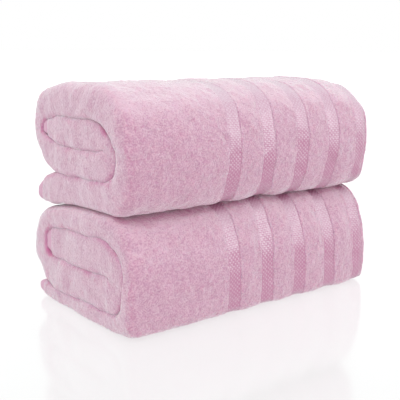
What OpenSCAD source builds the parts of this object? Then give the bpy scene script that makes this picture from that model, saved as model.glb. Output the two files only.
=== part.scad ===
// Bath towel set: two terry bath towels, each folded in four along its length
// and then wrapped across its width into a flat spiral, one lying on the other.
// X runs along the folded length, with the woven border bands at the +X end.
// Y runs front (-Y) to back (+Y), where the free side edge of each towel lies.
// The origin is the bottom centre of the stack.

/* [Towel] */
// Length of one towel laid flat
towel_length = 1420; // [1340:10:1500]
// Width of one towel laid flat
towel_width = 760; // [720:10:820]
// Thickness of one ply of cloth with its pile, as it lies in the fold
ply_t = 7.5; // [6.6:0.1:7.6]
// Air between plies
ply_gap = 0.3; // [0.2:0.1:0.5]

/* [Wrap] */
// Air between the wrapped layers
layer_gap = 0.6; // [0.4:0.1:1]
// Outer radius of the four bends of the wrap
bend_r = 38; // [36:1:44]
// How far the free side edge lies in from the back of the wrap
free_edge_inset = 9; // [4:1:20]
// How far the edge in the core stays off the back of the wrap
core_edge_inset = 7; // [6:1:20]
// Length of the end that is tucked under at the border end
tuck = 60; // [50:5:90]

/* [Border bands] */
// Number of woven bands
band_count = 5; // [5]
// Width of one band
band_w = 18; // [12:0.5:22]
// Distance from one band's centre to the next
band_pitch = 50.5; // [40:0.5:50.5]
// Centre of the first band from the plain end of the fold
band_start = 138.5; // [120:0.5:138.5]
// Depth of the band's bed in the pile
bed_depth = 1.8; // [1:0.1:2.5]
// Thickness of the flat woven band
band_t = 1.0; // [0.6:0.1:1.5]

/* [Hems] */
// Width of the side hems
side_hem_w = 14; // [10:1:16]
// Width of the end hems
end_hem_w = 25; // [20:1:30]
// Thickness of a hem
hem_t = 5; // [3:0.1:5.5]
// Thickness of the sewing thread on a hem's face
thread_t = 0.3; // [0.2:0.1:0.4]
// Width of a row of stitches
stitch_w = 0.8; // [0.5:0.1:1.2]
// Distance of the row of stitches from the hem's inner edge
stitch_inset = 2; // [1:0.5:4]

/* [Stack] */
// Clearance between the two towels
stack_gap = 0.5; // [0.3:0.1:1]

/* [Hidden] */
$fn = 48;
PLIES = 4;
LAYERS = 4;

// Levels in the fold: 0 is the outside ply, 3 the inside one.
level_pitch = ply_t + ply_gap;
layer_t = PLIES * ply_t + (PLIES - 1) * ply_gap;
pack_h = LAYERS * layer_t + (LAYERS - 1) * layer_gap;
upper_z = pack_h + stack_gap;

// Centreline radii of the two turns nested at each end of the fold
outer_turn_r = 1.5 * level_pitch;
inner_turn_r = 0.5 * level_pitch;
// Room between the two cut ends and the fold that faces them
end_room = inner_turn_r + ply_t / 2 + 2;
// Straight part of a full ply, from the flat length of the cloth
straight = (towel_length - 2 * PI * outer_turn_r - 3 * PI * inner_turn_r + 2 * end_room) / PLIES;
pack_l = straight + layer_t;
x_turn = straight / 2;
x_cut = x_turn - tuck;
x_inner_fold = x_cut - end_room;

// The wrap's middle line is four runs across the depth, which this solves for, and the rest
bend_arc = PI / 2 * (bend_r - layer_t / 2);
core_turn_r = (layer_t + layer_gap) / 2;
front_run = pack_h - 2 * bend_r;
back_run = front_run - layer_t - layer_gap;
core_turn_inset = 2 * layer_t + 1.5 * layer_gap;
pack_d = (towel_width - 4 * bend_arc - PI * core_turn_r - front_run - back_run
    + 4 * bend_r + 2 * core_turn_inset + layer_t + free_edge_inset + core_edge_inset) / 4;

bottom_run = pack_d - free_edge_inset - bend_r - side_hem_w;
top_run = pack_d - 2 * bend_r;
second_run = pack_d - bend_r - core_turn_inset;
core_run = pack_d - core_turn_inset - layer_t - core_edge_inset - side_hem_w;

// The wrap as runs [length, 0] and bends [angle, outer radius], from the free side edge in
WRAP = [
    [bottom_run, 0], [90, bend_r], [front_run, 0], [90, bend_r], [top_run, 0],
    [90, bend_r], [back_run, 0], [90, bend_r], [second_run, 0],
    [180, layer_t + layer_gap / 2], [core_run, 0],
];

TERRY_PINK = [0.85, 0.70, 0.78];
BAND_PINK = [0.90, 0.80, 0.86];
HEM_PINK = [0.80, 0.63, 0.73];
THREAD_PINK = [0.92, 0.84, 0.88];

function level(k) = -ply_t / 2 - k * level_pitch;

// Sweeps a 2D section along the wrap. Its x is the towel's x, and its y is 0 on the
// outside face of the fold and negative towards the inside.
module along_wrap(i = 0) {
    if (i < len(WRAP)) {
        size = WRAP[i][0];
        r = WRAP[i][1];
        if (r == 0) {
            translate([0, size, 0]) rotate([90, 0, 0]) linear_extrude(size) children();
            translate([0, size, 0]) along_wrap(i + 1) children();
        } else {
            translate([0, 0, -r]) rotate([0, -90, 0])
                rotate_extrude(angle = size) translate([r, 0]) rotate(-90) children();
            translate([0, 0, -r]) rotate([-size, 0, 0]) translate([0, 0, r])
                along_wrap(i + 1) children();
        }
    }
}

// Moves to the start of the wrap, at the free side hem's inner edge
module at_wrap_start() {
    translate([0, pack_d / 2 - free_edge_inset - side_hem_w, 0]) rotate([180, 0, 0])
        children();
}

// Moves to the end of the wrap, at the core hem's inner edge
module at_wrap_end() {
    y_end = pack_d / 2 - layer_t - core_edge_inset - side_hem_w;
    translate([0, y_end, pack_h - layer_t - layer_gap]) children();
}

// A short stretch of section along the wrap's direction, from y0 to y0 + size
module stretch(y0, size) {
    translate([0, y0 + size, 0]) rotate([90, 0, 0]) linear_extrude(size) children();
}

// Half ring that turns a ply back at x, on the side given by sign
module turn_2d(x, y, r, t, sign) {
    translate([x, y]) intersection() {
        difference() {
            circle(r + t / 2);
            circle(r - t / 2);
        }
        translate([sign > 0 ? 0 : -2 * r - t, -2 * r - t]) square([2 * r + t, 4 * r + 2 * t]);
    }
}

// Straight piece of ply on one level
module ply_2d(x0, x1, k, t) {
    translate([x0, level(k) - t / 2]) square([x1 - x0, t]);
}

// Section of the cloth folded in four, of thickness t, without its last cut mm at each cut end
module fold_2d(t, cut = 0) {
    middle = -layer_t / 2;
    ply_2d(-x_turn, x_turn, 0, t);
    turn_2d(-x_turn, middle, outer_turn_r, t, -1);
    turn_2d(x_turn, middle, outer_turn_r, t, 1);
    ply_2d(x_cut + cut, x_turn, 3, t);
    ply_2d(-x_turn, x_inner_fold, 3, t);
    turn_2d(x_inner_fold, (level(2) + level(3)) / 2, inner_turn_r, t, 1);
    ply_2d(-x_turn, x_inner_fold, 2, t);
    turn_2d(-x_turn, middle, inner_turn_r, t, -1);
    ply_2d(-x_turn, x_turn, 1, t);
    turn_2d(x_turn, middle, inner_turn_r, t, 1);
    ply_2d(x_cut + cut, x_turn, 2, t);
}

// Section of what lies from depth d0 to d1 in the outside ply, under one band
module band_zone_2d(i, d0, d1) {
    x0 = band_start - pack_l / 2 + (i - 1) * band_pitch - band_w / 2;
    translate([x0, -d1]) square([band_w, d1 - d0]);
}

module terry_cloth() {
    color(TERRY_PINK) at_wrap_start() along_wrap() difference() {
        fold_2d(ply_t, end_hem_w);
        for (i = [1:band_count]) band_zone_2d(i, -1, bed_depth);
    }
}

module border_band(i) {
    color(BAND_PINK) at_wrap_start() along_wrap()
        band_zone_2d(i, bed_depth - band_t, bed_depth);
}

module end_hem(k) {
    color(HEM_PINK) at_wrap_start() along_wrap() ply_2d(x_cut, x_cut + end_hem_w, k, hem_t);
}

module side_hem_outer() {
    color(HEM_PINK) at_wrap_start() stretch(-side_hem_w, side_hem_w) fold_2d(hem_t);
}

module side_hem_inner() {
    color(HEM_PINK) at_wrap_end() stretch(0, side_hem_w) fold_2d(hem_t);
}

// Thread on both faces of every ply
module thread_2d() {
    difference() {
        fold_2d(hem_t + 2 * thread_t);
        fold_2d(hem_t);
        translate([x_cut - 1, -layer_t]) square([1, layer_t / 2]);
    }
}

module side_hem_stitching() {
    color(THREAD_PINK) {
        at_wrap_start() stretch(-stitch_inset - stitch_w, stitch_w) thread_2d();
        at_wrap_end() stretch(stitch_inset, stitch_w) thread_2d();
    }
}

module end_hem_stitching() {
    x = x_cut + end_hem_w - stitch_inset - stitch_w;
    color(THREAD_PINK) at_wrap_start() along_wrap()
        for (k = [2, 3]) for (side = [-1, 1])
            translate([x, level(k) + side * (hem_t + thread_t) / 2 - thread_t / 2])
                square([stitch_w, thread_t]);
}

// Lifts a part of the lower towel's shape to the upper towel
module upper() {
    translate([0, 0, upper_z]) children();
}

terry_cloth();  // lower_terry_cloth
border_band(1);  // lower_border_band_1
border_band(2);  // lower_border_band_2
border_band(3);  // lower_border_band_3
border_band(4);  // lower_border_band_4
border_band(5);  // lower_border_band_5
end_hem(3);  // lower_border_end_hem
end_hem(2);  // lower_plain_end_hem
side_hem_outer();  // lower_side_hem_outer
side_hem_inner();  // lower_side_hem_inner
side_hem_stitching();  // lower_side_hem_stitching
end_hem_stitching();  // lower_end_hem_stitching
upper() terry_cloth();  // upper_terry_cloth
upper() border_band(1);  // upper_border_band_1
upper() border_band(2);  // upper_border_band_2
upper() border_band(3);  // upper_border_band_3
upper() border_band(4);  // upper_border_band_4
upper() border_band(5);  // upper_border_band_5
upper() end_hem(3);  // upper_border_end_hem
upper() end_hem(2);  // upper_plain_end_hem
upper() side_hem_outer();  // upper_side_hem_outer
upper() side_hem_inner();  // upper_side_hem_inner
upper() side_hem_stitching();  // upper_side_hem_stitching
upper() end_hem_stitching();  // upper_end_hem_stitching
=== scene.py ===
"""Bath towel set: two folded terry towels, one on the other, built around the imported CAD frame.

All working lengths are in millimetres in the row frame, and become metres in add_mesh().
A towel is a section, the cloth folded in four, carried along a wrap in the YZ plane. A point of it
is (X, depth), with the depth a share of the way from the wrap's outside curve to its inside curve.
"""

import math
from collections import namedtuple

import bpy
import numpy as np
from mathutils import Euler, Matrix, Vector


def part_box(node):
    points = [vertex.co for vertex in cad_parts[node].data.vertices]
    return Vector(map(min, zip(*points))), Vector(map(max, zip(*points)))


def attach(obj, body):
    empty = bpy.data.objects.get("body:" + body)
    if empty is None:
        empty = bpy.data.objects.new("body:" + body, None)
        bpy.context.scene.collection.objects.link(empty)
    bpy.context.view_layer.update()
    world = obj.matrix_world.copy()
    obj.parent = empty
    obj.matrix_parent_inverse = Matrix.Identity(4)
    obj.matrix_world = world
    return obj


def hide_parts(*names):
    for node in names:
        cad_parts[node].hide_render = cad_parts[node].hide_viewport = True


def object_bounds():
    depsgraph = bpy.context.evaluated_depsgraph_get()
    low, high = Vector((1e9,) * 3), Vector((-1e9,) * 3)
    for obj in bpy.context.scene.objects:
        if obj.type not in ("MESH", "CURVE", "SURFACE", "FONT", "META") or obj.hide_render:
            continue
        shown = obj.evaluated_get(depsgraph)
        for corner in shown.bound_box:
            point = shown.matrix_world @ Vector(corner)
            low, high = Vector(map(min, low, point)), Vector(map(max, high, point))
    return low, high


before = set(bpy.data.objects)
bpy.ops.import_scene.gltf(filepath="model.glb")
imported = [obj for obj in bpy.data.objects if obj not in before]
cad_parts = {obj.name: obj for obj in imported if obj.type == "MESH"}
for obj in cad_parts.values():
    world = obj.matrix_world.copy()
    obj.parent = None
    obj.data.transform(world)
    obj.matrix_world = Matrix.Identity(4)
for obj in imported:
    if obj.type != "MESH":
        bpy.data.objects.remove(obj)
cad_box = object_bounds()

MM = 0.001
LOW = np.array(cad_box[0]) / MM
HIGH = np.array(cad_box[1]) / MM
MIDDLE_X = (LOW[0] + HIGH[0]) / 2
MIDDLE_Y = (LOW[1] + HIGH[1]) / 2

# The section. The cloth turns TURN_X short of its ends, where END_ROOM is left for the pile. Its
# two cut ends stop TUCK short of the right turn, and FOLD_GAP further in lies the inside fold.
END_ROOM = 1.4
PLY = 7.5
LAYER = 4 * PLY
TURN_X = 15.5
TUCK = 60.0
FOLD_GAP = 9.65
HALF_L = (HIGH[0] - LOW[0]) / 2 - END_ROOM
X_TURN = HALF_L - TURN_X
X_CUT = X_TURN - TUCK
X_FOLD = X_CUT - FOLD_GAP
END_HEM_W = 25.0
SIDE_HEM_W = 14.0
PLY_GAP = 0.15
HEM_GAP = 1.25

# The bands, the slope, rim and fullness of the pile beside them, and the cells of their weave, in
# mm along the outside of the section. The slope of pile laps over a band's edge.
BAND_W = 18.0
BAND_BED = 2.0
BAND_T = 0.8
BAND_SHIFT = 1.0
BAND_SPREAD = 0.7
SHOULDER = 2.8
LAP = 1.5
RIDGE = 0.45
RIDGE_W = 1.3
PUFF = 0.9
CELL_U = 2.57
CELL_W = 2.35


def band_centre(i):
    """Middle of a band's CAD solid, moved a little to where the photo shows the band."""
    low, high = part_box(f"lower_border_band_{i + 1}")
    return (low.x + high.x) / 2 / MM + BAND_SHIFT + BAND_SPREAD * i


BANDS = [band_centre(i) for i in range(5)]

# Wraps, from the free side edge inwards: outside y, z and inside y, z of the layer
LOWER_WRAP = [
    (97, 4.2, 97, 14.2), (95.6, 2.4, 95.2, 16), (93.6, 1.3, 92.6, 17.1), (90.5, 0.6, 89, 17.8),
    (60, 0, 60, 18), (30, 0, 30, 18), (-10, 0, -8, 18), (-45, 0, -42, 18.5),
    (-76, 0, -64, 19.5), (-92, 0.6, -76, 23), (-100, 4.6, -81.5, 29), (-103, 16, -84, 39),
    (-103.6, 34, -86, 49), (-103.4, 52, -85, 60), (-100.4, 70, -80, 72), (-93.6, 87, -73, 81),
    (-86.5, 101, -62, 88), (-77, 111, -50, 91), (-63, 116.6, -40, 92), (-38, 118.6, -25, 92),
    (-10, 117.6, -5, 91.5), (15, 115.8, 15, 91), (38, 114.2, 36, 90), (60, 112, 53, 88.5),
    (79, 106, 66, 85), (93.5, 96, 73, 79), (103, 82, 76.5, 71), (109, 66, 77, 63),
    (111, 53, 75, 57), (107.5, 41, 70, 53.5), (97.5, 30.5, 62, 52.5), (81, 22.5, 52, 52.5),
    (58, 19.6, 40, 52.5), (30, 18.6, 22, 53), (0, 18.6, 0, 53), (-25, 19, -25, 54.2),
    (-48, 19.4, -46, 55.2), (-66, 22.5, -51, 55.6), (-77, 30, -52.5, 55.8), (-83.5, 42, -53, 56),
    (-83.6, 55, -53, 56.2), (-79, 68, -52.5, 56.4), (-70, 79, -51, 56.5), (-57, 87.5, -46, 56.4),
    (-42, 91, -38, 56), (-20, 91.3, -18, 55), (10, 90.3, 10, 54.2), (40, 88.6, 40, 53.8),
    (60, 85.8, 60, 54.6), (75, 80, 76, 61),
]
UPPER_WRAP = [
    (91.5, 116, 91.5, 128.5), (90.2, 113.6, 89.6, 131.5), (88, 112.2, 86.5, 134.5),
    (84, 111.5, 82, 138), (68, 112.8, 64, 147.2), (50, 114.6, 46, 151.5), (25, 115.6, 22, 151.5),
    (-5, 117.2, -4, 151.5), (-30, 117.8, -27, 151.5), (-50, 117.4, -44, 151.8),
    (-67, 117, -55, 153), (-81, 119.2, -63, 156), (-90.5, 126.5, -69, 161.5), (-96, 138, -73, 168.5),
    (-99.3, 152, -75.5, 177), (-102, 170, -75.5, 187), (-101.6, 189, -71, 198),
    (-99, 207, -63, 206.5), (-94, 222, -52, 212.5), (-84, 235.5, -41, 216), (-70, 245, -29, 217.5),
    (-52, 250.7, -15, 217.8), (-30, 252.6, -2, 217.4), (-5, 253, 12, 217), (20, 252, 29, 216.5),
    (43, 248.6, 46, 215.4), (63, 244.6, 60, 212.5), (82, 239.5, 70, 208), (93.5, 227.5, 76, 202),
    (98, 211, 77.5, 196.5), (99.5, 195, 75, 192), (96, 180, 69, 189.8), (85, 169, 60, 188.4),
    (69, 160.5, 47, 186.4), (53, 155.4, 32, 184), (28, 153, 12, 182.6), (0, 152.6, -10, 182.2),
    (-28, 152.6, -30, 183.4), (-48, 153.2, -46, 185.2), (-61, 157, -51, 186),
    (-69.5, 165, -52.4, 186.2), (-73.2, 176, -53, 186.5), (-71, 188, -52.6, 186.8),
    (-63, 198.5, -51, 187), (-50.5, 206.5, -46, 186.6), (-37, 212.5, -36, 185.2),
    (-20, 215.6, -20, 183.8), (10, 215.6, 10, 183.6), (40, 213.6, 38, 186),
    (61, 210, 59, 190), (76, 204, 76, 195.5),
]
ROW_STEP = 1.4
PILE_STEP = 1.4

# How far the layers press into each other, how far apart they were, and how square the end's
# corners are
PRESS = 3.3
INNER_PRESS = 0.9
CORNER_FREE = 0.34
CORNER_TOUCHING = 0.62
RIGHT_CORNERS = 0.75
LAYERS_APART = 1.3

# The painted crease shade between layers at the ends: its width, and the y, z about which it
# fades out
CREASE_W = 2.8
FAINT = [(-72, 186), (-80, 74)]
FAINT_R = 16.0

# How far the real stack is from the CAD solids, as relaxed() uses it
SWELL = 3.0
SWELL_RIGHT = 1.5
SWELL_TOP = 1.0
RISE = 1.2
RISE_LEFT = 3.2
RISE_LESS_AT_END = 0.9
DROOP = 9.5
REACH = 2.6

# Waves, each with its size in mm, its height and a seed: of the whole stack, of the pile, of where
# the layers end on the left and on the right, of how they press, and of how dark the painted
# crease shade is
WAVES = [(95, 1.7, 11), (42, 1.3, 23), (19, 0.9, 37), (10, 0.45, 53)]
PILE = [(8.3, 0.4, 127), (4.6, 0.2, 131), (2.7, 0.35, 137), (1.7, 0.3, 139)]
LEFT_ENDS = [(58, 1.9, 71), (23, 0.7, 83)]
RIGHT_ENDS = [(64, 1.6, 91), (25, 0.6, 97)]
UNEVEN_PRESS = [(21, 0.7, 51), (9, 0.5, 53)]
UNEVEN_CREASE = [(17, 0.6, 151), (5, 0.3, 157)]

# Height at which the towels meet, before and after relaxed()
MEET_Z = 118.0
SEEN_MEET_Z = 120.0

# Sewing thread
STITCH_PITCH = 3.4
STITCH_LENGTH = 2.9
STITCH_RADIUS = 0.32
STITCH_INSET = 2.4

# Materials. The terry's two tones are its grain, shifted by painted light and shade; the crease
# colour is painted shade. The bands' two tones are mostly their painted highlight and painted shade.
TERRY_LIGHT = (0.62, 0.40, 0.495, 1)
TERRY_DARK = (0.455, 0.215, 0.325, 1)
# painted shade for the creases between layers, and where one towel lies on the other
PAINTED_CREASE_SHADE = (0.47, 0.125, 0.27, 1)
BAND_PAINTED_LIT = (0.60, 0.44, 0.525, 1)
BAND_PAINTED_SHADE = (0.38, 0.085, 0.21, 1)
HEM_LIGHT = (0.66, 0.39, 0.51, 1)
HEM_DARK = (0.55, 0.29, 0.41, 1)
THREAD_LIGHT = (0.80, 0.55, 0.67, 1)
THREAD_DARK = (0.70, 0.44, 0.56, 1)
BROAD_SHARE = 0.35

# Camera: degrees round from the front, down and rolled, metres from the stack's near corner, and
# the focal length in sensor widths
CAMERA_TURN = 38.75
CAMERA_DOWN = 11.3
CAMERA_ROLL = 0.5
NEAR_CORNER = (-0.1802, -0.1008, 0.0)
CAMERA_BACK = 0.72131
CAMERA_RIGHT = 0.06873
CAMERA_UP = 0.29246
FOCAL = 1.9025


# ---------------------------------------------------------------- noise

def hashed(ix, iy, iz, seed):
    """Repeatable value from -1 to 1 for each lattice point."""
    h = (ix * 374761393 + iy * 668265263 + iz * 1442695041 + seed * 974634777) & 0xFFFFFFFF
    h = ((h ^ (h >> 13)) * 1274126177) & 0xFFFFFFFF
    h = ((h ^ (h >> 16)) * 2246822519) & 0xFFFFFFFF
    return ((h ^ (h >> 15)) & 0xFFFFFF) / float(0x7FFFFF) - 1.0


def noise(p, size, seed):
    """Smooth value noise at the points p, with cells of that size in mm."""
    q = np.asarray(p, float) / size
    cell = np.floor(q).astype(np.int64)
    f = q - cell
    f = f * f * f * (f * (f * 6 - 15) + 10)
    total = 0.0
    for dx in (0, 1):
        wx = f[..., 0] if dx else 1 - f[..., 0]
        for dy in (0, 1):
            wy = f[..., 1] if dy else 1 - f[..., 1]
            for dz in (0, 1):
                wz = f[..., 2] if dz else 1 - f[..., 2]
                total = total + wx * wy * wz * hashed(
                    cell[..., 0] + dx, cell[..., 1] + dy, cell[..., 2] + dz, seed)
    return total


def waves(p, parts):
    """The sum of the waves at the points p."""
    return sum(height * noise(p, size, seed) for size, height, seed in parts)


def smooth(x):
    """An even S from 0 to 1 as x goes from 0 to 1, and flat outside."""
    x = np.clip(x, 0, 1)
    return x * x * (3 - 2 * x)


def ramp(x, start, end):
    """An even S from 0 at the start to 1 at the end, which may be the smaller of the two."""
    return smooth((x - start) / (end - start))


def relaxed(p):
    """Slow unevenness of the whole stack, the same for everything that touches."""
    p = np.asarray(p, float)
    out = p.copy()
    x, y, z = p[..., 0], p[..., 1], p[..., 2]
    # fuller than the CAD solids, most at the right and at the top
    swell = (SWELL + SWELL_RIGHT * ramp(x, -60, 140)) * ramp(z, 0, 100)
    swell += SWELL_TOP * ramp(z, 150, 240)
    # the line between the towels stands higher at the front, most towards the left
    rise = RISE + RISE_LEFT * ramp(x, 90, 0) - RISE_LESS_AT_END * ramp(x, -60, -160)
    rise = rise * ramp(y, 75, 5) * np.exp(-((z - MEET_Z) / 40) ** 2)
    # the top droops towards the right end, and the lower towel reaches further out there
    droop = DROOP * np.clip((x - 105) / 75, 0, 1.2) ** 2 * ramp(z, 170, 245)
    out[..., 2] += swell + rise - droop
    out[..., 0] += REACH * ramp(x, 90, 170) * ramp(z, 122, 82)
    # the waves die out towards the ground, where the towel lies flat
    low = ramp(z, 0, 22)
    for size, amount, seed in WAVES:
        for axis in range(3):
            share = low if axis == 2 else 0.35 + 0.65 * low
            out[..., axis] += share * amount * noise(p, size, seed + 5 * axis)
    return out


# ---------------------------------------------------------------- wrap

def spline(points, step):
    """Smooth curve through the stations, sampled every step along its outside."""
    p = np.asarray(points, float)
    chord = np.sqrt((np.diff(p[:, :2], axis=0) ** 2).sum(1)) + 0.5
    t = np.concatenate([[0], np.cumsum(chord)])
    slope = np.diff(p, axis=0) / chord[:, None]
    tangent = np.empty_like(p)
    tangent[0], tangent[-1] = slope[0], slope[-1]
    w = chord[1:] / (chord[1:] + chord[:-1])
    tangent[1:-1] = w[:, None] * slope[:-1] + (1 - w[:, None]) * slope[1:]
    fine = np.linspace(0, t[-1], 6000)
    k = np.clip(np.searchsorted(t, fine, side="right") - 1, 0, len(chord) - 1)
    h = chord[k][:, None]
    a = ((fine - t[k]) / chord[k])[:, None]
    curve = ((2 * a**3 - 3 * a**2 + 1) * p[k] + (a**3 - 2 * a**2 + a) * h * tangent[k]
             + (-2 * a**3 + 3 * a**2) * p[k + 1] + (a**3 - a**2) * h * tangent[k + 1])
    length = np.concatenate([[0], np.cumsum(np.sqrt((np.diff(curve[:, :2], axis=0) ** 2).sum(1)))])
    n = int(round(length[-1] / step)) + 1
    at = np.linspace(0, length[-1], n)
    return at, np.stack([np.interp(at, length, curve[:, c]) for c in range(4)], 1)


class Wrap:
    """One towel's wrap: where the outside and inside of its layer are, at any length along it."""

    def __init__(self, stations, seed):
        self.at, self.rows = spline(stations, ROW_STEP)
        self.length = self.at[-1]
        self.seed = seed
        y, z = self.rows[:, 0], self.rows[:, 1]
        n = len(y)
        back = self.back_row()
        # How much the next turn of the wrap covers each row, and where it lies on something flat
        self.covered = ramp(self.at - self.at[back], 26, 50)
        touching = ramp(np.abs(y + 2), 88, 58) * (np.arange(n) < back) * (z < z.min() + 60)
        # The outside corner of the end is fairly round where it is free and square where a
        # neighbouring layer presses on it
        self.square = np.clip(self.covered + CORNER_TOUCHING * touching
                              + CORNER_FREE * (1 - self.covered), 0, 1)
        # Layers press a little into each other, unevenly, so that no gap shows between them
        probe = np.stack([self.at, np.full(n, seed), np.zeros(n)], 1)
        self.press = PRESS + waves(probe, UNEVEN_PRESS)
        outward = self.rows[:, :2] - self.rows[:, 2:]
        outward /= np.linalg.norm(outward, axis=1, keepdims=True)
        self.rows[:, :2] += outward * (self.covered * self.press)[:, None]
        self.rows[:, 2:] -= outward * (INNER_PRESS * self.press)[:, None]
        self.thick = np.hypot(self.rows[:, 2] - self.rows[:, 0], self.rows[:, 3] - self.rows[:, 1])

    def back_row(self):
        """Row of the outermost point of the turn at the back, past the free edge's own stretch."""
        skip = len(self.rows) // 4
        return np.argmax(self.rows[skip:, 0]) + skip

    def sample(self, w):
        """Rows (outside y, z, inside y, z), thickness and squareness at the lengths w."""
        rows = np.stack([np.interp(w, self.at, self.rows[:, c]) for c in range(4)], 1)
        return rows, np.interp(w, self.at, self.thick), np.interp(w, self.at, self.square)

    def place(self, x, depth, w):
        """Points for section x, depth (mm of LAYER) given as rows by columns, at the lengths w."""
        rows, _, _ = self.sample(w)
        share = depth / LAYER
        y = rows[:, :1] + (rows[:, 2:3] - rows[:, :1]) * share
        z = rows[:, 1:2] + (rows[:, 3:4] - rows[:, 1:2]) * share
        probe = np.stack([w, np.zeros_like(w), np.zeros_like(w) + self.seed], 1)
        left, right = waves(probe, LEFT_ENDS), waves(probe, RIGHT_ENDS)
        near_end = smooth(np.abs(x) / HALF_L) ** 2
        shift = np.where(x < 0, -left[:, None], right[:, None]) * near_end
        p = np.stack([MIDDLE_X + x + shift, MIDDLE_Y + y, z], -1)
        return relaxed(p)


# ---------------------------------------------------------------- section

def quarter(power, n=400):
    """Table of a quarter superellipse against its share of arc length."""
    a = np.linspace(0, math.pi / 2, n)
    x, y = np.cos(a) ** (2 / power), np.sin(a) ** (2 / power)
    s = np.concatenate([[0], np.cumsum(np.hypot(np.diff(x), np.diff(y)))])
    return s / s[-1], x, y


ROUND = quarter(2.0)
SQUARE = quarter(5.0)

# What stands for u where a column is not on the outside of the section
NO_U = 1e4


def bed(u):
    """Depth of the pile's surface below its general level, at u along the outside."""
    u = np.asarray(u, float)
    d = np.zeros_like(u)
    for c in BANDS:
        off = np.abs(u - c) - BAND_W / 2 + LAP
        d = np.maximum(d, BAND_BED * smooth(1 - off / SHOULDER))
        d -= RIDGE * np.exp(-((off - SHOULDER - 0.4) / RIDGE_W) ** 2)
    # the pile stands fuller between two bands
    for a, b in zip(BANDS[:-1], BANDS[1:]):
        t = np.clip((u - a - BAND_W / 2) / (b - a - BAND_W), 0, 1)
        d -= PUFF * np.sin(math.pi * t) ** 2
    return d


# One column of the section: a centre, a direction from it when round and when square, for each side
# of the cloth the half width and half height to go that way and the sign of the gap's inset, the
# stretch that the column belongs to, u along the outside, and whether the corner can be square
Column = namedtuple(
    "Column", "x0 yc round_x round_y square_x square_y face back tag u outer")


class Columns:
    """Columns of the folded section, in path order, for the face side and the back side."""

    def __init__(self):
        self.items = []

    def flat(self, xs, side, face, back, tag):
        """A flat ply at the given x, on the low side (-1) or the high side (1) of the depth."""
        for x in xs:
            self.items.append(Column(x, LAYER / 2, 0.0, side, 0.0, side, face, back, tag, x, False))

    def turn(self, x0, yc, sign, start, count, face, back, tag, outer=False):
        """Half turn from start (side -1 or 1) to the other side, on the side of x given by sign."""
        for j in range(1, count):
            a = -1 + 2 * j / count
            a = a if start < 0 else -a
            half = math.copysign(1, a) if a else 1
            round_x, round_y = (np.interp(abs(a), ROUND[0], ROUND[k]) for k in (1, 2))
            square_x, square_y = (np.interp(abs(a), SQUARE[0], SQUARE[k]) for k in (1, 2))
            u = sign * (X_TURN + (1 - abs(a)) * math.pi / 2 * TURN_X)
            self.items.append(Column(
                x0, yc, sign * round_x, half * round_y, sign * square_x, half * square_y,
                face, back, tag, u if a < 0 else sign * NO_U, outer))

    def arrays(self):
        """The columns' values, each as one array whose last axis is the columns."""
        return {name: np.array([getattr(column, name) for column in self.items]).T
                for name in Column._fields}


def steps(a, b, size):
    """Even steps from a to b, both included, of about that size."""
    n = max(1, int(round(abs(b - a) / size)))
    return np.linspace(a, b, n + 1)


def pile_columns():
    """x of the outside ply's columns, closer together at the shoulders of the beds."""
    xs = [X_TURN]
    while xs[-1] > -X_TURN:
        x = xs[-1]
        near = min(abs(abs(x - c) - BAND_W / 2 + LAP - SHOULDER / 2) for c in BANDS)
        inside = any(abs(x - c) < BAND_W / 2 - 3.5 for c in BANDS)
        size = 0.6 if near < 1.8 else (3.0 if inside else PILE_STEP)
        xs.append(x - size)
    xs[-1] = -X_TURN
    return np.array(xs)


def section(cut, coarse, fine, turn_steps, pile=True):
    """Columns of the whole fold. The two cut ends stop cut mm short, where the end hems start."""
    c = Columns()
    half = LAYER / 2
    outer_face, outer_back = (TURN_X, half, -1), (TURN_X - PLY, half - PLY, 1)
    inner_face, inner_back = (0.0, 0.0, 1), (TURN_X - PLY, PLY, -1)
    xs = pile_columns() if pile else steps(X_TURN, -X_TURN, fine)
    c.flat(steps(X_CUT + cut, X_TURN, coarse), 1, outer_face, outer_back, "tuck")
    c.turn(X_TURN, half, 1, 1, turn_steps, outer_face, outer_back, "right", True)
    c.flat(xs, -1, outer_face, outer_back, "pile")
    c.turn(-X_TURN, half, -1, -1, turn_steps, outer_face, outer_back, "left", True)
    c.flat(steps(-X_TURN, X_FOLD, coarse), 1, outer_face, outer_back, "inside")
    c.turn(X_FOLD, half + PLY, 1, 1, 8, (PLY, PLY, -1), (0.0, 0.0, 1), "fold")
    c.flat(steps(X_FOLD, -X_TURN, coarse), 1, inner_face, inner_back, "third")
    c.turn(-X_TURN, half, -1, 1, 8, inner_face, inner_back, "inner_left")
    c.flat(steps(-X_TURN, X_TURN, coarse), -1, inner_face, inner_back, "second")
    c.turn(X_TURN, half, 1, -1, 8, inner_face, inner_back, "inner_right")
    c.flat(steps(X_TURN, X_CUT + cut, coarse), 1, inner_face, inner_back, "plain")
    return c.arrays()


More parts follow.
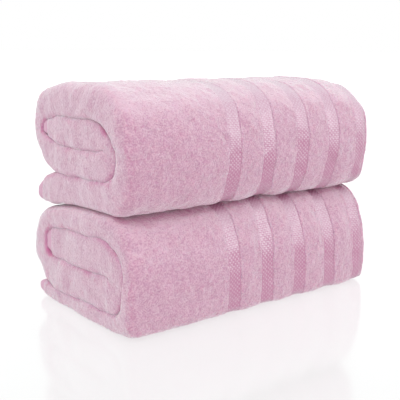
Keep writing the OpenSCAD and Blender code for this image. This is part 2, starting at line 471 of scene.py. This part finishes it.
def section_points(cols, wrap, w, gap, beds=True):
    """Face and back points, rows by columns by 3, and the face's depth.

    gap is each row's inset of the ply's two sides.
    """
    _, thick, square = wrap.sample(w)
    gap = np.broadcast_to(np.asarray(gap, float), w.shape)[:, None]
    stretch = (LAYER / thick)[:, None]
    m = np.where(cols["round_y"][None, :] < 0, square[:, None], 1.0) * cols["outer"][None, :]
    m = m * np.where(cols["x0"] > 0, RIGHT_CORNERS, 1.0)[None, :]
    ux = cols["round_x"] * (1 - m) + cols["square_x"] * m
    uy = cols["round_y"] * (1 - m) + cols["square_y"] * m
    d = np.zeros(len(cols["u"]))
    if beds:
        known = np.isin(cols["tag"], ("pile", "right")) & (np.abs(cols["u"]) < NO_U)
        d[known] = bed(cols["u"][known])
    half_w, half_h, inset = cols["face"]
    face_x = cols["x0"] + ux * (half_w + inset * gap - d)
    face_y = cols["yc"] + uy * (half_h + inset * gap - d * stretch)
    half_w, half_h, inset = cols["back"]
    back_x = cols["x0"] + ux * np.maximum(half_w + inset * gap, 0)
    back_y = cols["yc"] + uy * np.maximum(half_h + inset * gap, 0)
    return wrap.place(face_x, face_y, w), wrap.place(back_x, back_y, w), face_y


def grid_normals(g):
    """Unit normals of a grid of points, rows by columns."""
    du = np.gradient(g, axis=1)
    dv = np.gradient(g, axis=0)
    n = np.cross(du, dv)
    return n / np.maximum(np.linalg.norm(n, axis=-1, keepdims=True), 1e-9)


# ---------------------------------------------------------------- meshes

def add_mesh(name, points, faces, material):
    """A mesh object from points in mm and faces: a list of arrays, each n by corners."""
    mesh = bpy.data.meshes.new(name)
    points = np.asarray(points, float) * MM
    counts, loops = [], []
    for f in faces:
        f = np.asarray(f)
        if f.ndim == 2:
            counts.append(np.full(len(f), f.shape[1]))
            loops.append(f.ravel())
        else:
            counts.append(np.array([len(f)]))
            loops.append(f)
    counts, loops = np.concatenate(counts), np.concatenate(loops)
    mesh.vertices.add(len(points))
    mesh.vertices.foreach_set("co", points.astype(np.float32).ravel())
    mesh.loops.add(len(loops))
    mesh.loops.foreach_set("vertex_index", loops.astype(np.int32))
    mesh.polygons.add(len(counts))
    starts = np.concatenate([[0], np.cumsum(counts)[:-1]])
    mesh.polygons.foreach_set("loop_start", starts.astype(np.int32))
    mesh.polygons.foreach_set("use_smooth", np.full(len(counts), True))
    mesh.update(calc_edges=True)
    mesh.validate()
    mesh.materials.append(material)
    obj = bpy.data.objects.new(name, mesh)
    bpy.context.scene.collection.objects.link(obj)
    return obj


def grid_faces(rows, cols, start=0, flip=False):
    """Quads between the points of a grid whose first point is number start."""
    i = np.arange(rows - 1)[:, None] * cols + np.arange(cols - 1)[None, :] + start
    q = np.stack([i, i + 1, i + cols + 1, i + cols], -1).reshape(-1, 4)
    return q[:, ::-1] if flip else q


def kept(n, every):
    """Indices 0, every, 2 every, ... and n - 1."""
    k = list(range(0, n - 1, every))
    return np.array(k + [n - 1])


def closed_sheet(face, back, row_every, col_every):
    """Points and faces of a closed sheet whose back is a coarser copy of its grid."""
    rows, cols = face.shape[:2]
    kr, kc = kept(rows, row_every), kept(cols, col_every)
    coarse = back[kr][:, kc]
    nf = rows * cols
    points = np.concatenate([face.reshape(-1, 3), coarse.reshape(-1, 3)])
    nc = len(kc)
    faces = [grid_faces(rows, cols), grid_faces(len(kr), nc, nf, flip=True)]
    rim = []
    for a in range(len(kc) - 1):
        top = list(range(kc[a], kc[a + 1] + 1))
        rim.append([nf + a, nf + a + 1] + top[::-1])
        last = (rows - 1) * cols
        end = nf + (len(kr) - 1) * nc
        rim.append([end + a + 1, end + a] + [last + k for k in top])
    for a in range(len(kr) - 1):
        left = [k * cols for k in range(kr[a], kr[a + 1] + 1)]
        rim.append([nf + (a + 1) * nc, nf + a * nc] + left)
        right = [k * cols + cols - 1 for k in range(kr[a], kr[a + 1] + 1)]
        rim.append([nf + a * nc + nc - 1, nf + (a + 1) * nc + nc - 1] + right[::-1])
    faces += [np.array(r) for r in rim]
    return points, faces


def signed_volume(points, faces):
    """Negative when the faces are inside out."""
    total = 0.0
    for f in faces:
        f = np.atleast_2d(f)
        for k in range(1, f.shape[1] - 1):
            a, b, c = points[f[:, 0]], points[f[:, k]], points[f[:, k + 1]]
            total += np.einsum("ij,ij->i", a, np.cross(b, c)).sum()
    return total / 6


def build_sheet(name, face, back, row_every, col_every, material):
    """A closed sheet as a mesh object, with its faces turned outwards."""
    points, faces = closed_sheet(face, back, row_every, col_every)
    if signed_volume(points, faces) < 0:
        faces = [np.atleast_2d(f)[:, ::-1] if np.asarray(f).ndim == 2 else f[::-1] for f in faces]
    return add_mesh(name, points, faces, material)


# ---------------------------------------------------------------- materials

def painted_light_node(nodes, link, tone, amount):
    """The tone lifted by the mesh's own painted light and shade values, which change nothing at one
    half.
    """
    values = nodes.new("ShaderNodeAttribute")
    values.attribute_name = "painted_light"
    lifted = nodes.new("ShaderNodeMath")
    lifted.operation = "MULTIPLY_ADD"
    link(values.outputs["Fac"], lifted.inputs[0])
    lifted.inputs[1].default_value = amount
    link(tone, lifted.inputs[2])
    return lifted.outputs[0]


def crease_shade_node(nodes, link, shade, colour):
    """The colour turned to the painted crease shade colour by the mesh's own painted crease shade
    values.
    """
    values = nodes.new("ShaderNodeAttribute")
    values.attribute_name = "painted_crease_shade"
    mix = nodes.new("ShaderNodeMix")
    mix.data_type = "RGBA"
    mix.inputs[7].default_value = colour
    link(values.outputs["Fac"], mix.inputs[0])
    link(shade, mix.inputs[6])
    return mix.outputs[2]


def new_material(name, light, dark, grain, contrast, bump, bump_mm, rough, sheen, sheen_rough,
                 specular, coat=0.0, subsurface=0.0, lift=0.0, crease=None):
    """A cloth: two tones mixed by its grain and, where lift is given, by the mesh's painted light
    and shade; a bump of the same grain, a sheen, and painted crease shade where its colour is given.
    """
    m = bpy.data.materials.new(name)
    m.use_nodes = True
    nodes, link = m.node_tree.nodes, m.node_tree.links.new
    b = nodes["Principled BSDF"]
    coords = nodes.new("ShaderNodeTexCoord").outputs["Object"]

    def grain_noise(scale):
        n = nodes.new("ShaderNodeTexNoise")
        n.inputs["Scale"].default_value = scale
        n.inputs["Detail"].default_value = 2
        n.inputs["Roughness"].default_value = 0.6
        link(coords, n.inputs["Vector"])
        return n.outputs["Fac"]

    fine = grain_noise(grain)
    broad = grain_noise(grain / 3)
    both = nodes.new("ShaderNodeMath")
    both.operation = "MULTIPLY_ADD"
    link(broad, both.inputs[0])
    both.inputs[1].default_value = BROAD_SHARE
    link(fine, both.inputs[2])
    tone = both.outputs[0]
    if lift:
        tone = painted_light_node(nodes, link, tone, lift)
    middle = (1 + BROAD_SHARE + lift) / 2
    share = nodes.new("ShaderNodeMapRange")
    share.inputs["From Min"].default_value = middle - contrast
    share.inputs["From Max"].default_value = middle + contrast
    link(tone, share.inputs["Value"])
    mix = nodes.new("ShaderNodeMix")
    mix.data_type = "RGBA"
    mix.inputs[6].default_value = dark
    mix.inputs[7].default_value = light
    link(share.outputs[0], mix.inputs[0])
    shade = mix.outputs[2]
    if crease:
        shade = crease_shade_node(nodes, link, shade, crease)
    link(shade, b.inputs["Base Color"])
    bm = nodes.new("ShaderNodeBump")
    bm.inputs["Strength"].default_value = bump
    bm.inputs["Distance"].default_value = bump_mm * MM
    link(fine, bm.inputs["Height"])
    link(bm.outputs[0], b.inputs["Normal"])
    b.inputs["Roughness"].default_value = rough
    b.inputs["Specular IOR Level"].default_value = specular
    b.inputs["Coat Weight"].default_value = coat
    b.inputs["Coat Roughness"].default_value = 0.28
    b.inputs["Subsurface Weight"].default_value = subsurface
    b.inputs["Subsurface Radius"].default_value = (1.0, 0.3, 0.5)
    b.inputs["Subsurface Scale"].default_value = 0.010
    b.inputs["Sheen Weight"].default_value = sheen
    b.inputs["Sheen Roughness"].default_value = sheen_rough
    b.inputs["Sheen Tint"].default_value = (1.0, 0.98, 0.99, 1)
    return m


terry_mat = new_material(
    "terry_pile", TERRY_LIGHT, TERRY_DARK, grain=620, contrast=0.17, bump=1.0, bump_mm=1.1,
    rough=0.95, sheen=1.0, sheen_rough=0.48, specular=0.35, subsurface=0.45, lift=0.24,
    crease=PAINTED_CREASE_SHADE)
band_mat = new_material(
    "border_satin", BAND_PAINTED_LIT, BAND_PAINTED_SHADE, grain=900, contrast=0.5, bump=0.25, bump_mm=0.2,
    rough=0.28, sheen=0.4, sheen_rough=0.3, specular=0.8, coat=0.85, lift=1.0)
hem_mat = new_material(
    "hem_weave", HEM_LIGHT, HEM_DARK, grain=1100, contrast=0.25, bump=0.6, bump_mm=0.3,
    rough=0.8, sheen=0.35, sheen_rough=0.45, specular=0.25)
thread_mat = new_material(
    "stitch_thread", THREAD_LIGHT, THREAD_DARK, grain=2200, contrast=0.25, bump=0.6, bump_mm=0.15,
    rough=0.5, sheen=0.3, sheen_rough=0.4, specular=0.4)


# ---------------------------------------------------------------- towels

def set_values(obj, name, values):
    """A value for each point of the face side, and 0 for the rest."""
    padded = np.zeros(len(obj.data.vertices), np.float32)
    padded[:values.size] = values.ravel()
    obj.data.attributes.new(name, "FLOAT", "POINT").data.foreach_set("value", padded)


def crease_shade_amounts(wrap, w, ends, depth, face):
    """How much painted crease shade each point gets in a crease between two layers at the ends, 0 to
    1.
    """
    _, thick, _ = wrap.sample(w)
    press = np.interp(w, wrap.at, wrap.press)
    covered = np.interp(w, wrap.at, wrap.covered)
    overlap = (1 + INNER_PRESS) * press - LAYERS_APART
    meet = (overlap / 2 * LAYER / thick)[:, None]
    line = (covered[:, None] * np.exp(-((depth - meet) / CREASE_W) ** 2)
            + np.exp(-((LAYER - meet - depth) / CREASE_W) ** 2))
    y, z = face[..., 1] - MIDDLE_Y, face[..., 2]
    faint = np.zeros_like(z)
    for y0, z0 in FAINT:
        faint = np.maximum(faint, np.exp(-((y - y0) ** 2 + (z - z0) ** 2) / FAINT_R ** 2))
    uneven = 0.5 + waves(face, UNEVEN_CREASE)
    return np.clip(line * ends[None, :] * np.clip(uneven, 0.1, 1) * (1 - 0.85 * faint), 0, 1)


def shade_between_towels(face, up):
    """How much painted shade each point gets where one towel lies on the other, 0 to 1."""
    return ramp(np.abs(up), 0.72, 0.92) * ramp(np.abs(face[..., 2] - SEEN_MEET_Z), 30, 20)


def terry(prefix, wrap):
    """The cloth itself: one closed sheet that follows the whole fold and wrap."""
    w = steps(SIDE_HEM_W, wrap.length - SIDE_HEM_W, ROW_STEP)
    cols = section(END_HEM_W, 12.0, PILE_STEP, 34)
    face, back, depth = section_points(cols, wrap, w, PLY_GAP)
    normal = grid_normals(face)
    pile = waves(face, PILE)
    ends = np.isin(cols["tag"], ("right", "left"))
    shown = ends | (cols["tag"] == "pile")
    from_bed = np.min([np.abs(cols["u"] - c) - BAND_W / 2 for c in BANDS], axis=0)
    share = shown * smooth(0.15 + from_bed / 3) * np.where(ends, 0.6, 1.0)
    # the pile stands out along the normal that points away from the back of the ply
    away = np.sign(np.einsum("ijk,ijk->ij", normal, face - back))
    face = face + normal * (away * pile * share[None, :])[..., None]
    obj = build_sheet(f"{prefix}_terry_sheet", face, back, 4, 5, terry_mat)
    up = normal[..., 2] * away
    # painted shade where one towel lies on the other: crease shade there, and less painted light
    between_towels_shade = shade_between_towels(face, up)
    set_values(obj, "painted_crease_shade", np.maximum(crease_shade_amounts(wrap, w, ends, depth, face),
                                              0.6 * between_towels_shade))
    # painted light: the pile is lighter where it faces up
    painted_top_light = 0.45 + 0.6 * ramp(up, 0.05, 0.85)
    set_values(obj, "painted_light", painted_top_light * (1 - between_towels_shade))
    return obj


def weave_height(u, w):
    """Basket weave: height in mm of the warp floats and the lower weft floats between them."""
    iu, iw = np.floor(u / CELL_U), np.floor(w / CELL_W)
    fu, fw = (u / CELL_U - iu) * 2 - 1, (w / CELL_W - iw) * 2 - 1
    warp = (1 - fu**2) ** 0.5 * (1 - np.abs(fw) ** 6)
    weft = (1 - fw**2) ** 0.5 * (1 - np.abs(fu) ** 6)
    return np.where((iu + iw) % 2 > 0.5, 0.42 * warp, 0.24 * weft - 0.08)


def band_rows(wrap):
    """Lengths of a band's rows, close together where the band can be seen, and the share shown."""
    seen_from = wrap.at[np.argmin(wrap.rows[:, 0])] - 75
    seen_to = wrap.at[wrap.back_row()] + 45
    w = np.concatenate([steps(SIDE_HEM_W, seen_from, 3.0)[:-1],
                        steps(seen_from, seen_to, 0.52)[:-1],
                        steps(seen_to, wrap.length - SIDE_HEM_W, 3.0)])
    return w, ramp(w, seen_from, seen_from + 6) * ramp(w, seen_to, seen_to - 6)


def band(prefix, wrap, painted_gleam_from, i):
    """A woven band, coloured with painted highlight and painted shade. The painted highlight starts
    where the band faces up more than the given level.
    """
    centre = BANDS[i]
    us = np.linspace(centre - BAND_W / 2, centre + BAND_W / 2, 37)
    w, seen = band_rows(wrap)
    _, thick, _ = wrap.sample(w)
    stretch = (LAYER / thick)[:, None]
    edge = np.minimum(us - us[0], us[-1] - us)
    relief = weave_height(us[None, :] - centre, w[:, None]) * smooth(edge)[None, :]
    relief = relief * seen[:, None]

    def surface(depth):
        over = np.maximum(us - X_TURN, 0)[None, :] / TURN_X
        flat_x = np.broadcast_to(us[None, :], depth.shape)
        x = np.where(over > 0, X_TURN + (TURN_X - depth) * np.sin(over), flat_x)
        y = LAYER / 2 - (LAYER / 2 - depth * stretch) * np.cos(over)
        return wrap.place(x, y, w)

    face = surface(BAND_BED - BAND_T + 0.1 - relief)
    back_side = surface(np.full_like(relief, BAND_BED + 0.25))
    obj = build_sheet(f"{prefix}_satin_band_{i + 1}", face, back_side, 6, 6, band_mat)
    normal = grid_normals(face)
    up = normal[..., 2] * np.sign(np.einsum("ijk,ijk->ij", normal, face - back_side))
    # painted highlight on the upper front, a little more on the top, and faint painted light from
    # the ground
    painted_shine = (0.1 + 0.5 * ramp(up, painted_gleam_from, painted_gleam_from + 0.22) + 0.2 * ramp(up, 0.55, 0.85)
             + 0.25 * ramp(up, painted_gleam_from - 0.14, painted_gleam_from - 0.39))
    # painted glints on the weave's floats and painted shade between them, weaker facing up or down
    floats = 1.4 * (relief - relief.mean()) * (1 - 0.6 * ramp(np.abs(up), 0.35, 0.75))
    # less painted highlight where one towel lies on the other, as painted shade
    set_values(obj, "painted_light", painted_shine * (1 - 0.8 * shade_between_towels(face, up)) + floats)
    return obj


def rounded(distance, radius=2.5):
    """Share of a hem's full thickness at a distance from its edge."""
    return np.sqrt(np.clip(1 - (1 - np.clip(distance / radius, 0, 1)) ** 2, 0, 1))


def side_hem(prefix, wrap, inner):
    """The folded section's closed edge, at the free end of the wrap or at its inner end."""
    far = wrap.length
    w = steps(far - SIDE_HEM_W, far, 1.0) if inner else steps(0, SIDE_HEM_W, 1.0)
    cols = section(0.0, 4.0, 3.0, 16, pile=False)
    edge = (far - w) if inner else w
    gap = PLY / 2 - (PLY / 2 - HEM_GAP) * (0.25 + 0.75 * rounded(edge))
    face, back, _ = section_points(cols, wrap, w, gap, beds=False)
    name = f"{prefix}_side_hem_{'inner' if inner else 'outer'}_fold"
    return build_sheet(name, face, back, 1, 1, hem_mat)


def end_hem(prefix, wrap, plain):
    """Strip along the whole wrap at a cut end, with a rounded edge."""
    w = steps(SIDE_HEM_W, wrap.length - SIDE_HEM_W, 3.0)
    xs = np.concatenate([[0, 0.4, 1.0, 1.8, 3.0], steps(4.5, END_HEM_W, 2.5)])
    half_t = (PLY / 2 - HEM_GAP) * (0.2 + 0.8 * rounded(xs))
    level = 2.5 if plain else 3.5
    x = np.broadcast_to(X_CUT + xs, (len(w), len(xs)))
    face = wrap.place(x, level * PLY - half_t[None, :] + 0 * x, w)
    back = wrap.place(x, level * PLY + half_t[None, :] + 0 * x, w)
    name = f"{prefix}_{'plain' if plain else 'border'}_end_hem_strip"
    return build_sheet(name, face, back, 1, 1, hem_mat)


def capsules(starts, ends, ups):
    """One flattened stitch from each start to each end: points and faces."""
    reach = ends - starts
    side = np.cross(reach, ups)
    side /= np.maximum(np.linalg.norm(side, axis=1, keepdims=True), 1e-9)
    up = ups / np.maximum(np.linalg.norm(ups, axis=1, keepdims=True), 1e-9)
    # rings along a stitch: how far along, how thick, how far lifted, as shares
    rings = [(0.0, 0.25, -0.35), (0.14, 0.85, 0.0), (0.5, 1.0, 0.25), (0.86, 0.85, 0.0),
             (1.0, 0.25, -0.35)]
    corners = 6
    pts = []
    for t, size, lift in rings:
        for k in range(corners):
            a = 2 * math.pi * k / corners
            pts.append(starts + reach * t + side * (math.cos(a) * STITCH_RADIUS * size)
                       + up * (math.sin(a) * STITCH_RADIUS * size * 0.8 + lift * STITCH_RADIUS))
    pts = np.stack(pts, 1)
    n, per = len(starts), len(rings) * corners
    faces = []
    base = np.arange(n)[:, None] * per
    for r in range(len(rings) - 1):
        for k in range(corners):
            k2 = (k + 1) % corners
            faces.append(base + np.array([r * corners + k, r * corners + k2,
                                          (r + 1) * corners + k2, (r + 1) * corners + k]))
    first = base + np.arange(corners)[::-1]
    last = base + (len(rings) - 1) * corners + np.arange(corners)
    return pts.reshape(-1, 3), [np.concatenate(faces), first, last]


def along(values, lengths, at):
    """The values of a line, given at its points' lengths, at other lengths."""
    return np.stack([np.interp(at, lengths, values[:, c]) for c in range(3)], 1)


def stitch_rows(lines):
    """Stitches along each (points, ups) line."""
    starts, ends, ups = [], [], []
    for line, up in lines:
        d = np.concatenate([[0], np.cumsum(np.linalg.norm(np.diff(line, axis=0), axis=1))])
        a = np.arange(0.3, d[-1] - STITCH_LENGTH, STITCH_PITCH)
        starts.append(along(line, d, a))
        ends.append(along(line, d, a + STITCH_LENGTH))
        ups.append(along(up, d, a + STITCH_LENGTH / 2))
    return capsules(np.concatenate(starts), np.concatenate(ends), np.concatenate(ups))


def side_stitching(prefix, wrap):
    """Stitches along both side hems, on both sides of the cloth."""
    lines = []
    cols = section(0.0, 3.0, 3.0, 18, pile=False)
    inset = SIDE_HEM_W - STITCH_INSET
    for w0 in (inset, wrap.length - inset):
        face, back, _ = section_points(cols, wrap, np.array([w0, w0]), HEM_GAP - 0.05, beds=False)
        f, b = face[0], back[0]
        for side, other in ((f, b), (b, f)):
            keep = np.concatenate([[True], np.linalg.norm(np.diff(side, axis=0), axis=1) > 0.05])
            lines.append((side[keep], (side - other)[keep]))
    points, faces = stitch_rows(lines)
    return add_mesh(f"{prefix}_side_stitches", points, faces, thread_mat)


def end_stitching(prefix, wrap):
    """Stitches along both end hems, on both sides of the cloth."""
    lines = []
    w = steps(SIDE_HEM_W, wrap.length - SIDE_HEM_W, 3.0)
    x = np.full((len(w), 1), X_CUT + END_HEM_W - STITCH_INSET)
    for level in (2.5, 3.5):
        a = wrap.place(x, np.full_like(x, level * PLY - (PLY / 2 - HEM_GAP)), w)[:, 0]
        b = wrap.place(x, np.full_like(x, level * PLY + (PLY / 2 - HEM_GAP)), w)[:, 0]
        lines += [(a, a - b), (b, b - a)]
    points, faces = stitch_rows(lines)
    return add_mesh(f"{prefix}_end_stitches", points, faces, thread_mat)


def towel(prefix, stations, seed, painted_gleam_from):
    """All the pieces of one towel, riding on its body. Gives back its cloth."""
    body = f"{prefix}_towel"
    wrap = Wrap(stations, seed)
    cloth = terry(prefix, wrap)
    pieces = [(cloth, "terry_cloth", "terry_pile")]
    for i in range(len(BANDS)):
        pieces.append((band(prefix, wrap, painted_gleam_from, i), f"border_band_{i + 1}", "border_satin"))
    pieces.append((end_hem(prefix, wrap, False), "border_end_hem", "hem_weave"))
    pieces.append((end_hem(prefix, wrap, True), "plain_end_hem", "hem_weave"))
    pieces.append((side_hem(prefix, wrap, False), "side_hem_outer", "hem_weave"))
    pieces.append((side_hem(prefix, wrap, True), "side_hem_inner", "hem_weave"))
    pieces.append((side_stitching(prefix, wrap), "side_hem_stitching", "stitch_thread"))
    pieces.append((end_stitching(prefix, wrap), "end_hem_stitching", "stitch_thread"))
    for piece, node, slot in pieces:
        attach(piece, body)
        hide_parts(f"{prefix}_{node}")
    return cloth


lower = towel("lower", LOWER_WRAP, seed=3.0, painted_gleam_from=0.08)
upper = towel("upper", UPPER_WRAP, seed=71.0, painted_gleam_from=-0.08)


# ---------------------------------------------------------------- stage, camera, lights

def floor():
    """A wide white ground that shines by itself, so that it stays white under the towels."""
    mesh = bpy.data.meshes.new("floor")
    half = 40.0
    z = LOW[2] * MM - 0.0004
    corners = [(-half, -half, z), (half, -half, z), (half, half, z), (-half, half, z)]
    mesh.from_pydata(corners, [], [(0, 1, 2, 3)])
    obj = bpy.data.objects.new("floor", mesh)
    bpy.context.scene.collection.objects.link(obj)
    m = bpy.data.materials.new("floor_white")
    m.use_nodes = True
    b = m.node_tree.nodes["Principled BSDF"]
    b.inputs["Base Color"].default_value = (0.17, 0.17, 0.17, 1)
    b.inputs["Roughness"].default_value = 0.12
    b.inputs["Specular IOR Level"].default_value = 0.8
    b.inputs["Emission Color"].default_value = (1, 1, 1, 1)
    b.inputs["Emission Strength"].default_value = 0.66
    mesh.materials.append(m)


def area_light(name, place, aim, size, power, color=(1, 1, 1)):
    """A rectangular light at the place, in metres, turned to the aim."""
    data = bpy.data.lights.new(name, "AREA")
    data.shape = "RECTANGLE"
    data.size, data.size_y = size
    data.energy = power
    data.color = color
    obj = bpy.data.objects.new(name, data)
    obj.location = place
    obj.rotation_euler = (Vector(aim) - Vector(place)).to_track_quat("-Z", "Y").to_euler()
    bpy.context.scene.collection.objects.link(obj)


def camera():
    """The photograph's view, placed from the stack's near corner."""
    turn = math.radians(CAMERA_TURN)
    forward = Vector((math.sin(turn), math.cos(turn), 0))
    right = Vector((math.cos(turn), -math.sin(turn), 0))
    place = Vector(NEAR_CORNER) - forward * CAMERA_BACK + right * CAMERA_RIGHT
    place.z = LOW[2] * MM + CAMERA_UP
    data = bpy.data.cameras.new("camera")
    data.sensor_width = 36
    data.lens = FOCAL * data.sensor_width
    obj = bpy.data.objects.new("camera", data)
    obj.location = place
    level = Euler((math.radians(90 - CAMERA_DOWN), 0, -turn)).to_matrix()
    obj.rotation_euler = (level @ Matrix.Rotation(math.radians(CAMERA_ROLL), 3, "Z")).to_euler()
    bpy.context.scene.collection.objects.link(obj)
    bpy.context.scene.camera = obj


def lights():
    """A white room, a soft key from the upper left, and faint lights around it."""
    world = bpy.data.worlds.new("studio")
    world.use_nodes = True
    back = world.node_tree.nodes["Background"]
    back.inputs["Color"].default_value = (1, 1, 1, 1)
    back.inputs["Strength"].default_value = 1.0
    bpy.context.scene.world = world
    middle = (0, 0, 0.12)
    area_light("key", (-1.08, -0.5, 1.36), middle, (1.2, 1.2), 7.0, (0.78, 1.0, 0.92))
    area_light("fill", (-0.9, -1.6, 0.36), middle, (0.9, 0.4), 4.3, (1.0, 0.90, 0.95))
    area_light("top", (0, -0.35, 1.5), middle, (1.3, 1.0), 2.2, (0.78, 1.0, 0.92))
    area_light("side", (1.17, -1.47, 0.80), middle, (0.28, 0.7), 4.5)


floor()
camera()
lights()
bpy.context.scene.view_settings.view_transform = "Standard"
